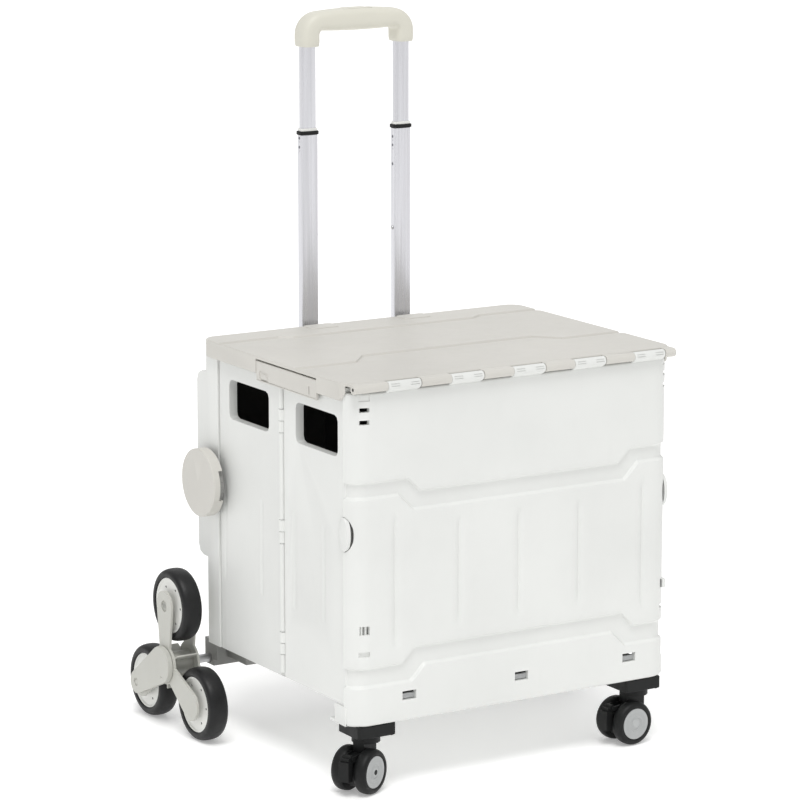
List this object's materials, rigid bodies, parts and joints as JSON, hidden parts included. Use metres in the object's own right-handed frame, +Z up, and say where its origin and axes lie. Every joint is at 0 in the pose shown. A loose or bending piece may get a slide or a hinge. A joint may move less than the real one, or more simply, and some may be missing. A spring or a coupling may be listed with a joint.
{
  "type": "stair climbing trolley",
  "caption": "Folding crate trolley with hinged lid, telescopic twin-tube handle, swivel casters in front and rotating tri-wheel clusters behind for climbing stairs.",
  "frame": {"origin": "on the ground below the middle of the trolley's box, standing on its casters and stair wheels with the handle partly out", "axes": "+Z up along the handle, -Y to the front of the crate where the lid is hinged, +X to the right seen from the front"},
  "size_m": [0.529, 0.4508, 0.8143],
  "materials": {
    "white_plastic": "fine satin moulded polypropylene, cool white",
    "beige_plastic": "fine satin moulded polypropylene, warm greyish beige",
    "cream_plastic": "smooth cream moulded grip",
    "warm_grey_plastic": "satin moulded nylon, warm grey",
    "grey_plastic": "satin moulded plastic, mid grey",
    "black_plastic": "satin moulded plastic, black",
    "black_rubber": "smooth matt rubber",
    "hub_plastic": "satin moulded plastic, white",
    "aluminium": "satin anodised extrusion",
    "steel": "plain bright steel"
  },
  "bodies": {
    "root": {"back_shell": "white_plastic", "rear_axle_bracket": "grey_plastic", "axle": "steel", "lock_drum_left": "grey_plastic", "lock_drum_right": "grey_plastic", "rear_hinge_pin_left": "steel", "rear_hinge_pin_right": "steel"},
    "front": {"front_shell": "white_plastic", "front_tie_bar": "grey_plastic", "front_hinge_pin_left": "steel", "front_hinge_pin_right": "steel", "caster_block_left": "black_plastic", "caster_block_right": "black_plastic"},
    "floor": {"floor_board": "white_plastic"},
    "lid_rod": {"lid_hinge_rod": "steel"},
    "lid": {"lid": "beige_plastic"},
    "mid_stage": {"mid_tube_left": "aluminium", "mid_tube_right": "aluminium", "tube_collar_left": "black_plastic", "tube_collar_right": "black_plastic"},
    "top_stage": {"inner_tube_left": "aluminium", "inner_tube_right": "aluminium", "handle_grip": "cream_plastic"},
    "button": {"release_button": "cream_plastic"},
    "rear_side_left": {"side_rear_left": "white_plastic"},
    "front_side_left": {"side_front_left": "white_plastic", "middle_hinge_pin_left": "steel"},
    "latch_left": {"lid_latch_left": "beige_plastic"},
    "lock_left": {"lock_knob_left": "beige_plastic"},
    "oval_left": {"oval_button_left": "white_plastic"},
    "caster_left": {"caster_yoke_left": "black_plastic"},
    "brake_left": {"caster_brake_left": "black_plastic"},
    "caster_wheel_near_left": {"caster_wheel_near_left": "black_plastic"},
    "caster_wheel_far_left": {"caster_wheel_far_left": "black_plastic"},
    "climber_left": {"stair_spider_left": "warm_grey_plastic", "hub_cap_left": "warm_grey_plastic"},
    "climber_wheel_top_left": {"stair_tyre_top_left": "black_rubber", "stair_hub_top_left": "hub_plastic"},
    "climber_wheel_front_left": {"stair_tyre_front_left": "black_rubber", "stair_hub_front_left": "hub_plastic"},
    "climber_wheel_rear_left": {"stair_tyre_rear_left": "black_rubber", "stair_hub_rear_left": "hub_plastic"},
    "rear_side_right": {"side_rear_right": "white_plastic"},
    "front_side_right": {"side_front_right": "white_plastic", "middle_hinge_pin_right": "steel"},
    "latch_right": {"lid_latch_right": "beige_plastic"},
    "lock_right": {"lock_knob_right": "beige_plastic"},
    "oval_right": {"oval_button_right": "white_plastic"},
    "caster_right": {"caster_yoke_right": "black_plastic"},
    "brake_right": {"caster_brake_right": "black_plastic"},
    "caster_wheel_near_right": {"caster_wheel_near_right": "black_plastic"},
    "caster_wheel_far_right": {"caster_wheel_far_right": "black_plastic"},
    "climber_right": {"stair_spider_right": "warm_grey_plastic", "hub_cap_right": "warm_grey_plastic"},
    "climber_wheel_top_right": {"stair_tyre_top_right": "black_rubber", "stair_hub_top_right": "hub_plastic"},
    "climber_wheel_front_right": {"stair_tyre_front_right": "black_rubber", "stair_hub_front_right": "hub_plastic"},
    "climber_wheel_rear_right": {"stair_tyre_rear_right": "black_rubber", "stair_hub_rear_right": "hub_plastic"}
  },
  "joints": [
    {"name": "crate_fold", "type": "hinge", "parent": "root", "child": "rear_side_left", "pos_m": [-0.1955, 0.0705, 0.2], "axis": [0, 0, -1], "range_deg": [-86, 0]},
    {"name": "fold_middle_left", "type": "hinge", "parent": "rear_side_left", "child": "front_side_left", "pos_m": [-0.206, -0.0605, 0.2], "axis": [0, 0, 1], "range_deg": [-172, 0]},
    {"name": "fold_front_left", "type": "hinge", "parent": "front_side_left", "child": "front", "pos_m": [-0.1955, -0.1915, 0.2], "axis": [0, 0, -1], "range_deg": [-86, 0]},
    {"name": "fold_rear_right", "type": "hinge", "parent": "root", "child": "rear_side_right", "pos_m": [0.1955, 0.0705, 0.2], "axis": [0, 0, 1], "range_deg": [-86, 0]},
    {"name": "fold_middle_right", "type": "hinge", "parent": "rear_side_right", "child": "front_side_right", "pos_m": [0.206, -0.0605, 0.2], "axis": [0, 0, -1], "range_deg": [-172, 0]},
    {"name": "lid_rod_turn", "type": "hinge", "parent": "front", "child": "lid_rod", "pos_m": [0, -0.215, 0.4487], "axis": [-1, 0, 0], "range_deg": [-86, 0]},
    {"name": "lid_open", "type": "hinge", "parent": "lid_rod", "child": "lid", "pos_m": [0, -0.215, 0.4487], "axis": [1, 0, 0], "range_deg": [0, 165]},
    {"name": "floor_fold", "type": "hinge", "parent": "front", "child": "floor", "pos_m": [0, -0.197, 0.0905], "axis": [-1, 0, 0], "range_deg": [-90, 0]},
    {"name": "handle_lower", "type": "slide", "parent": "root", "child": "mid_stage", "axis": [0, 0, 1], "range_m": [-0.215, 0]},
    {"name": "handle_upper", "type": "slide", "parent": "mid_stage", "child": "top_stage", "axis": [0, 0, 1], "range_m": [-0.085, 0.17]},
    {"name": "release_press", "type": "slide", "parent": "top_stage", "child": "button", "axis": [0, 0, 1], "range_m": [-0.003, 0], "stiffness_N_per_m": 300, "springref_m": 0.002},
    {"name": "latch_swing_left", "type": "hinge", "parent": "lid", "child": "latch_left", "pos_m": [-0.2105, -0.146, 0.446], "axis": [0, 1, 0], "range_deg": [0, 100]},
    {"name": "lock_turn_left", "type": "hinge", "parent": "root", "child": "lock_left", "pos_m": [-0.2207, 0.095, 0.2913], "axis": [1, 0, 0], "range_deg": [0, 90]},
    {"name": "oval_press_left", "type": "slide", "parent": "front_side_left", "child": "oval_left", "axis": [1, 0, 0], "range_m": [0, 0.0025], "stiffness_N_per_m": 300, "springref_m": -0.002},
    {"name": "caster_swivel_left", "type": "hinge", "parent": "front", "child": "caster_left", "pos_m": [-0.177, -0.1895, 0.05], "axis": [0, 0, 1], "continuous": true},
    {"name": "caster_roll_near_left", "type": "hinge", "parent": "caster_left", "child": "caster_wheel_near_left", "pos_m": [-0.18279, -0.20957, 0.025], "axis": [-0.4384, 0.8988, 0], "continuous": true},
    {"name": "caster_roll_far_left", "type": "hinge", "parent": "caster_left", "child": "caster_wheel_far_left", "pos_m": [-0.19638, -0.18171, 0.025], "axis": [-0.4384, 0.8988, 0], "continuous": true},
    {"name": "brake_press_left", "type": "hinge", "parent": "caster_left", "child": "brake_left", "pos_m": [-0.20801, -0.20462, 0.043], "axis": [-0.4384, 0.8988, 0], "range_deg": [-8, 0]},
    {"name": "climber_turn_left", "type": "hinge", "parent": "root", "child": "climber_left", "pos_m": [-0.24, 0.124, 0.07625], "axis": [1, 0, 0], "continuous": true},
    {"name": "climber_roll_top_left", "type": "hinge", "parent": "climber_left", "child": "climber_wheel_top_left", "pos_m": [-0.24, 0.124, 0.14475], "axis": [1, 0, 0], "continuous": true},
    {"name": "climber_roll_front_left", "type": "hinge", "parent": "climber_left", "child": "climber_wheel_front_left", "pos_m": [-0.24, 0.06468, 0.042], "axis": [1, 0, 0], "continuous": true},
    {"name": "climber_roll_rear_left", "type": "hinge", "parent": "climber_left", "child": "climber_wheel_rear_left", "pos_m": [-0.24, 0.18332, 0.042], "axis": [1, 0, 0], "continuous": true},
    {"name": "latch_swing_right", "type": "hinge", "parent": "lid", "child": "latch_right", "pos_m": [0.2105, -0.146, 0.446], "axis": [0, -1, 0], "range_deg": [0, 100]},
    {"name": "lock_turn_right", "type": "hinge", "parent": "root", "child": "lock_right", "pos_m": [0.2207, 0.095, 0.2913], "axis": [1, 0, 0], "range_deg": [0, 90]},
    {"name": "oval_press_right", "type": "slide", "parent": "front_side_right", "child": "oval_right", "axis": [-1, 0, 0], "range_m": [0, 0.0025], "stiffness_N_per_m": 300, "springref_m": -0.002},
    {"name": "caster_swivel_right", "type": "hinge", "parent": "front", "child": "caster_right", "pos_m": [0.177, -0.1895, 0.05], "axis": [0, 0, 1], "continuous": true},
    {"name": "caster_roll_near_right", "type": "hinge", "parent": "caster_right", "child": "caster_wheel_near_right", "pos_m": [0.1644, -0.20616, 0.025], "axis": [-0.0872, 0.9962, 0], "continuous": true},
    {"name": "caster_roll_far_right", "type": "hinge", "parent": "caster_right", "child": "caster_wheel_far_right", "pos_m": [0.1617, -0.17528, 0.025], "axis": [-0.0872, 0.9962, 0], "continuous": true},
    {"name": "brake_press_right", "type": "hinge", "parent": "caster_right", "child": "brake_right", "pos_m": [0.14263, -0.19251, 0.043], "axis": [-0.0872, 0.9962, 0], "range_deg": [-8, 0]},
    {"name": "climber_turn_right", "type": "hinge", "parent": "root", "child": "climber_right", "pos_m": [0.24, 0.124, 0.07625], "axis": [1, 0, 0], "continuous": true},
    {"name": "climber_roll_top_right", "type": "hinge", "parent": "climber_right", "child": "climber_wheel_top_right", "pos_m": [0.24, 0.124, 0.14475], "axis": [1, 0, 0], "continuous": true},
    {"name": "climber_roll_front_right", "type": "hinge", "parent": "climber_right", "child": "climber_wheel_front_right", "pos_m": [0.24, 0.06468, 0.042], "axis": [1, 0, 0], "continuous": true},
    {"name": "climber_roll_rear_right", "type": "hinge", "parent": "climber_right", "child": "climber_wheel_rear_right", "pos_m": [0.24, 0.18332, 0.042], "axis": [1, 0, 0], "continuous": true}
  ],
  "couplings": [
    {"joint": "fold_middle_left", "follows": "crate_fold", "ratio": 2},
    {"joint": "fold_front_left", "follows": "crate_fold", "ratio": 1},
    {"joint": "fold_rear_right", "follows": "crate_fold", "ratio": 1},
    {"joint": "fold_middle_right", "follows": "crate_fold", "ratio": 2},
    {"joint": "lid_rod_turn", "follows": "crate_fold", "ratio": 1}
  ]
}
